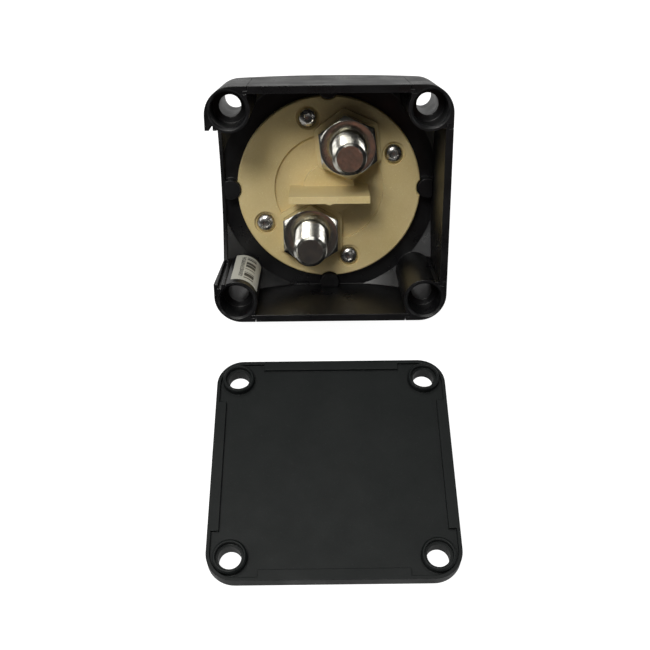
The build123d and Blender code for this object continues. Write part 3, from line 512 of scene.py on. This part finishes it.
# %% The stud's thread
STUD_RADIUS = 5.0
PITCH = 1.5
THREAD_DEPTH = 5 / 8 * PITCH * cos(radians(30))  # what a 60 degree thread has left between its flats
STUD_TIP, STUD_SHOULDER, STUD_HEAD_END = 3.0, 26.5, 29.0
STUD_CHAMFER = 1.25
STUD_HEAD_FLATS = 16.0
TURN_OF = {"upper": 6.0, "lower": 0.0}  # how far each stud and its nut are turned, in degrees
SIDE_OF = {"upper": 1, "lower": -1}


def thread(name, bottom, top):
    """A threaded bar between two depths, closed at both ends."""
    let_go()
    bpy.ops.mesh.primitive_plane_add(size=MM, location=(0, 0, 0))
    bar = name_last(name)
    bpy.ops.object.mode_set(mode="EDIT")
    bpy.ops.mesh.select_all(action="SELECT")
    bpy.ops.mesh.merge(type="CENTER")
    root = STUD_RADIUS - THREAD_DEPTH
    # Crest flat an eighth of the pitch, root flat a quarter, and the two flanks share the rest
    profile = [(STUD_RADIUS, 0.0), (STUD_RADIUS, 0.125), (root, 0.4375), (root, 0.6875), (STUD_RADIUS, 1.0)]
    bpy.ops.transform.translate(value=(STUD_RADIUS * MM, 0, -(bottom + 1.6 * PITCH) * MM))
    for (r0, t0), (r1, t1) in zip(profile, profile[1:]):
        bpy.ops.mesh.extrude_region_move(
            TRANSFORM_OT_translate={"value": ((r1 - r0) * MM, 0, (t1 - t0) * PITCH * MM)}
        )
    bpy.ops.object.mode_set(mode="OBJECT")
    turns = int((bottom - top) / PITCH) + 4
    modify(bar, "SCREW", axis="Z", angle=2 * pi, screw_offset=PITCH * MM, iterations=turns, steps=48,
           render_steps=48, use_merge_vertices=True, merge_threshold=0.001 * MM)
    tidy_skin(bar)
    for depth, side in ((bottom, -1), (top, 1)):
        take(bar)
        bpy.ops.object.mode_set(mode="EDIT")
        bpy.ops.mesh.select_all(action="SELECT")
        bpy.ops.mesh.bisect(
            plane_co=(0, 0, -depth * MM), plane_no=(0, 0, side), use_fill=True, clear_outer=True
        )
        bpy.ops.object.mode_set(mode="OBJECT")
    return tidy_skin(bar)


BLANK_FOOT = STUD_SHOULDER + 0.5  # the blank goes a little into the head
stud_blank = turned("stud_blank", [
    (0, BLANK_FOOT),
    (STUD_RADIUS, BLANK_FOOT),
    (STUD_RADIUS + 0.01, STUD_TIP + STUD_CHAMFER),
    (STUD_RADIUS - STUD_CHAMFER, STUD_TIP),
    (0, STUD_TIP),
], steps=48)
stud = cut_with(thread("terminal_thread", STUD_SHOULDER + 0.4, STUD_TIP - 0.3), stud_blank, "INTERSECT")
stud = cut_with(stud, prism("stud_head", STUD_HEAD_FLATS, STUD_SHOULDER, STUD_HEAD_END), "UNION")
tidy_skin(stud)
print("stud:", len(stud.data.polygons), "faces")

# %% [markdown]
# The two studs are the same bolt, so the second is a copy with a mesh of its own. They stand on one line
# through the middle, and the upper one is turned a little, as it was when it was pressed in.

# %% Two studs in their places
STUD_CIRCLE, STUD_ANGLE = 14.83, 67.0
STUD_PLACE = [STUD_CIRCLE * turn(radians(STUD_ANGLE)) for turn in (cos, sin)]


def put(piece, name, x, y, turn=0.0):
    """A copy of a piece, moved square to the axis, turned about its own middle, then leaned over."""
    take(piece)
    bpy.ops.object.duplicate()
    copy = name_last(name)
    copy.data.transform(
        lean_over @ Matrix.Translation((x * MM, y * MM, 0)) @ Matrix.Rotation(radians(turn), 4, "Z")
    )
    return copy


def put_pair(piece, new_name, node_name):
    """One copy of a piece at each stud's place, which stands for that place's node."""
    for where, side in SIDE_OF.items():
        made = put(piece, f"{new_name}_{where}", side * STUD_PLACE[0], side * STUD_PLACE[1], TURN_OF[where])
        finish_piece(made, "case", "tin_plate", tin_plate, f"{node_name}_{where}")
    bpy.data.objects.remove(piece)


put_pair(stud, "threaded_stud", "terminal_stud")

# %% [markdown]
# ## Terminal nuts
# A cut nut is a hexagonal bar faced off in a lathe, which leaves a round flat on each face and curved
# corners below it. So it is modelled that way: a turned ring, intersected with a hexagonal bar, and
# all of its edges broken by a small bevel.

# %% A faced and bored hexagon nut
NUT_TOP, NUT_BASE, NUT_FLATS = 18.7, 23.7, 17.0
BORE_RADIUS, MOUTH_RADIUS, FACE_RADIUS, BLANK_RADIUS = 5.1, 5.7, 8.3, 10.4
MOUTH_DEPTH, SHOULDER_DROP = 0.6, 1.15
nut = turned("terminal_nut", [
    (BORE_RADIUS, NUT_TOP + MOUTH_DEPTH),
    (MOUTH_RADIUS, NUT_TOP),
    (FACE_RADIUS, NUT_TOP),
    (BLANK_RADIUS, NUT_TOP + SHOULDER_DROP),
    (BLANK_RADIUS, NUT_BASE - SHOULDER_DROP),
    (FACE_RADIUS, NUT_BASE),
    (MOUTH_RADIUS, NUT_BASE),
    (BORE_RADIUS, NUT_BASE - MOUTH_DEPTH),
], steps=72, ring=True)
cut_with(nut, prism("nut_bar", NUT_FLATS, NUT_TOP - 1, NUT_BASE + 1), "INTERSECT")
tidy_skin(nut)
modify(nut, "BEVEL", width=0.10 * MM, segments=2, limit_method="ANGLE", angle_limit=radians(25))
put_pair(nut, "hexagon_nut", "terminal_nut")

# %% [markdown]
# ## Block screws
# Four stainless button-head screws hold the block. The dome is a lathe outline with a few points along
# its curve, and the socket is cut by a small hexagonal bar.

# %% Button-head screws with a hexagon socket
HEAD_TOP, HEAD_SEAT, SHANK_END, SCREW_END = 24.0, 25.9, 33.4, 34.0
HEAD_RADIUS, SHANK_RADIUS, POINT_RADIUS = 2.85, 1.5, 1.1
DOME_HEIGHT = 1.55
SOCKET_FLATS, SOCKET_DEPTH = 2.5, 1.25
SCREW_CIRCLE, SCREW_ANGLES = 22.7, (28.2, 106.0, 208.2, 286.0)
FIRST_TURN, NEXT_TURN = 17.0, 31.0  # no two sockets stopped at the same angle
quarter = [radians(a) for a in range(0, 91, 10)]
dome = [(HEAD_RADIUS * sin(a), HEAD_TOP + DOME_HEIGHT * (1 - cos(a))) for a in quarter]
button = turned("button_screw", [
    *dome,
    (HEAD_RADIUS, HEAD_SEAT),
    (SHANK_RADIUS, HEAD_SEAT),
    (SHANK_RADIUS, SHANK_END),
    (POINT_RADIUS, SCREW_END),
    (0, SCREW_END),
], steps=40)
cut_with(button, prism("socket_key", SOCKET_FLATS, HEAD_TOP - 1, HEAD_TOP + SOCKET_DEPTH), "DIFFERENCE")
tidy_skin(button)
modify(button, "BEVEL", width=0.07 * MM, segments=2, limit_method="ANGLE", angle_limit=radians(35))
screws = []
for number, angle in enumerate(SCREW_ANGLES):
    x, y = (SCREW_CIRCLE * turn(radians(angle)) for turn in (cos, sin))
    screws.append(put(button, f"block_screw_{number + 1}", x, y, FIRST_TURN + NEXT_TURN * number))
for screw in screws:
    finish_piece(screw, "case", "stainless_steel", stainless, "block_screws")
bpy.data.objects.remove(button)

# %% [markdown]
# ## The label on the column
# A sticker bent round a post is a strip of a cylinder. One upright edge, spun part of a turn about the
# post's axis, gives that strip, and a Solidify modifier gives it the thickness of paper.

# %% A sticker bent round the column
LABEL_TOP, LABEL_END, LABEL_FROM, LABEL_TO = 3.0, 26.1, 20.0, 106.0
let_go()
bpy.ops.mesh.primitive_plane_add(size=MM, location=(0, 0, 0))
label = name_last("bar_label")
bpy.ops.object.mode_set(mode="EDIT")
bpy.ops.mesh.select_all(action="SELECT")
bpy.ops.mesh.merge(type="CENTER")
start = radians(LABEL_TO)  # a spin runs clockwise here, so it starts at the far edge
middle = Vector((-COLUMN_AT, -COLUMN_AT, 0)) * MM
edge_foot = middle + Vector((cos(start), sin(start), 0)) * LABEL_RADIUS * MM
bpy.ops.transform.translate(value=edge_foot + Vector((0, 0, -LABEL_END * MM)))
bpy.ops.mesh.extrude_region_move(TRANSFORM_OT_translate={"value": (0, 0, (LABEL_END - LABEL_TOP) * MM)})
bpy.ops.mesh.select_all(action="SELECT")
bpy.ops.mesh.spin(steps=24, angle=radians(LABEL_TO - LABEL_FROM), center=middle, axis=(0, 0, 1))
bpy.ops.object.mode_set(mode="OBJECT")
tidy_skin(label)
outwards = sum(((f.center - middle).dot(f.normal) > 0) for f in label.data.polygons)
if outwards < len(label.data.polygons) / 2:
    label.data.flip_normals()
modify(label, "SOLIDIFY", thickness=0.11 * MM, offset=1.0)
label.data.transform(lean_over)
finish_piece(label, "case", "label_paper", label_paper, "column_label")

# %% [markdown]
# ## Camera
# The camera looks down on the switch from in front, with a lens a little longer than normal, so that
# the rim looks square and the cover widens towards us.

# %% The camera
LENS = 49.56
EYE = rim_centre + Vector((-0.00264, -0.1765, 0.18826))
look = Vector((0.0035, 0.5846, -0.8113)).normalized()
right = Vector((0.9999, -0.0107, -0.0034))
right = (right - right.dot(look) * look).normalized()
camera = bpy.data.objects.new("camera", bpy.data.cameras.new("camera"))
bpy.context.scene.collection.objects.link(camera)
camera.data.lens = LENS
camera.data.sensor_width = 36
camera.data.clip_start, camera.data.clip_end = 0.01, 60
facing = Matrix((right, right.cross(look), -look)).transposed().to_4x4()
camera.matrix_world = Matrix.Translation(EYE) @ facing
bpy.context.scene.camera = camera
print("the eye is", round((EYE - rim_centre).length * 1000), "mm from the rim")

# %% [markdown]
# ## Floor and light
# The table is a sheet of white card that looks nearly white everywhere, with faint shadows. Card that
# bright would light the black plastic from below, so it glows fully only where the camera sees it directly.
# The key lamp, above and a little to the left, gives the shadows inside the case. The wide softbox
# overhead is what the threads and nuts mirror, the two side panels are what the sloping floor in the lower
# corners mirrors, and a small warm wall in front tints the flat faces of the nuts and studs. The room
# around them is dim, because black plastic mirrors whatever the room holds.

# %% The floor
let_go()
bpy.ops.mesh.primitive_grid_add(x_subdivisions=8, y_subdivisions=8, size=30, location=(0, 0, -0.0002))
floor = apply_place(name_last("table_top"))
card = Finish("white_card")
weave = card.noise(60, detail=3.0)
seen_directly = card.node("ShaderNodeLightPath", output="Is Camera Ray")
card.set(
    Base_Color=card.blend(weave, (0.30, 0.30, 0.30), (0.34, 0.34, 0.34)),
    Roughness=0.9,
    Specular_IOR_Level=0.0,
    Emission_Color=card.blend(seen_directly, (0.25, 0.25, 0.25), (0.97, 0.97, 0.97)),
    Emission_Strength=1.0,
)
floor.data.materials.append(card.material)

# %% The lamps and the room
def lamp(name, direction, distance, size, brightness, colour=(1, 1, 1)):
    """A square soft lamp that faces the switch; brightness is what white card would show, facing it."""
    data = bpy.data.lights.new(name, "AREA")
    data.shape = "SQUARE"
    data.size = size
    data.energy = brightness * pi * pi * distance**2
    data.color = colour
    made = bpy.data.objects.new(name, data)
    bpy.context.scene.collection.objects.link(made)
    away = Vector(direction).normalized()
    facing_back = away.to_track_quat("Z", "Y").to_matrix().to_4x4()
    made.matrix_world = Matrix.Translation(rim_centre + away * distance) @ facing_back
    made.visible_camera = False
    return made


lamp("key", (-0.22, -0.34, 0.92), 1.2, 0.34, 0.50, (1.0, 0.985, 0.95))
lamp("softbox", (-0.10, 0.10, 0.99), 1.2, 1.0, 0.30, (1.0, 1.0, 0.97))
lamp("left_panel", (-0.76, -0.30, 0.58), 1.2, 0.5, 0.10, (1.0, 1.0, 1.0))
lamp("right_panel", (0.76, -0.30, 0.58), 1.2, 0.5, 0.13, (1.0, 1.0, 1.0))
lamp("warm_wall", (0.10, -0.91, 0.42), 0.9, 0.2, 0.0022, (1.0, 0.42, 0.25))

world = bpy.data.worlds.new("room")
bpy.context.scene.world = world
world.use_nodes = True
tree = world.node_tree
backdrop = tree.nodes["Background"]
backdrop.inputs["Color"].default_value = (0.95, 0.96, 1.0, 1)
backdrop.inputs["Strength"].default_value = 0.025
paper = tree.nodes.new("ShaderNodeBackground")
paper.inputs["Color"].default_value = (1, 1, 1, 1)
paper.inputs["Strength"].default_value = 0.95
path = tree.nodes.new("ShaderNodeLightPath")
mix = tree.nodes.new("ShaderNodeMixShader")
tree.links.new(path.outputs["Is Camera Ray"], mix.inputs[0])
tree.links.new(backdrop.outputs[0], mix.inputs[1])
tree.links.new(paper.outputs[0], mix.inputs[2])
tree.links.new(mix.outputs[0], tree.nodes["World Output"].inputs["Surface"])
bpy.context.scene.view_settings.view_transform = "Standard"
print("five lamps and a dim room")
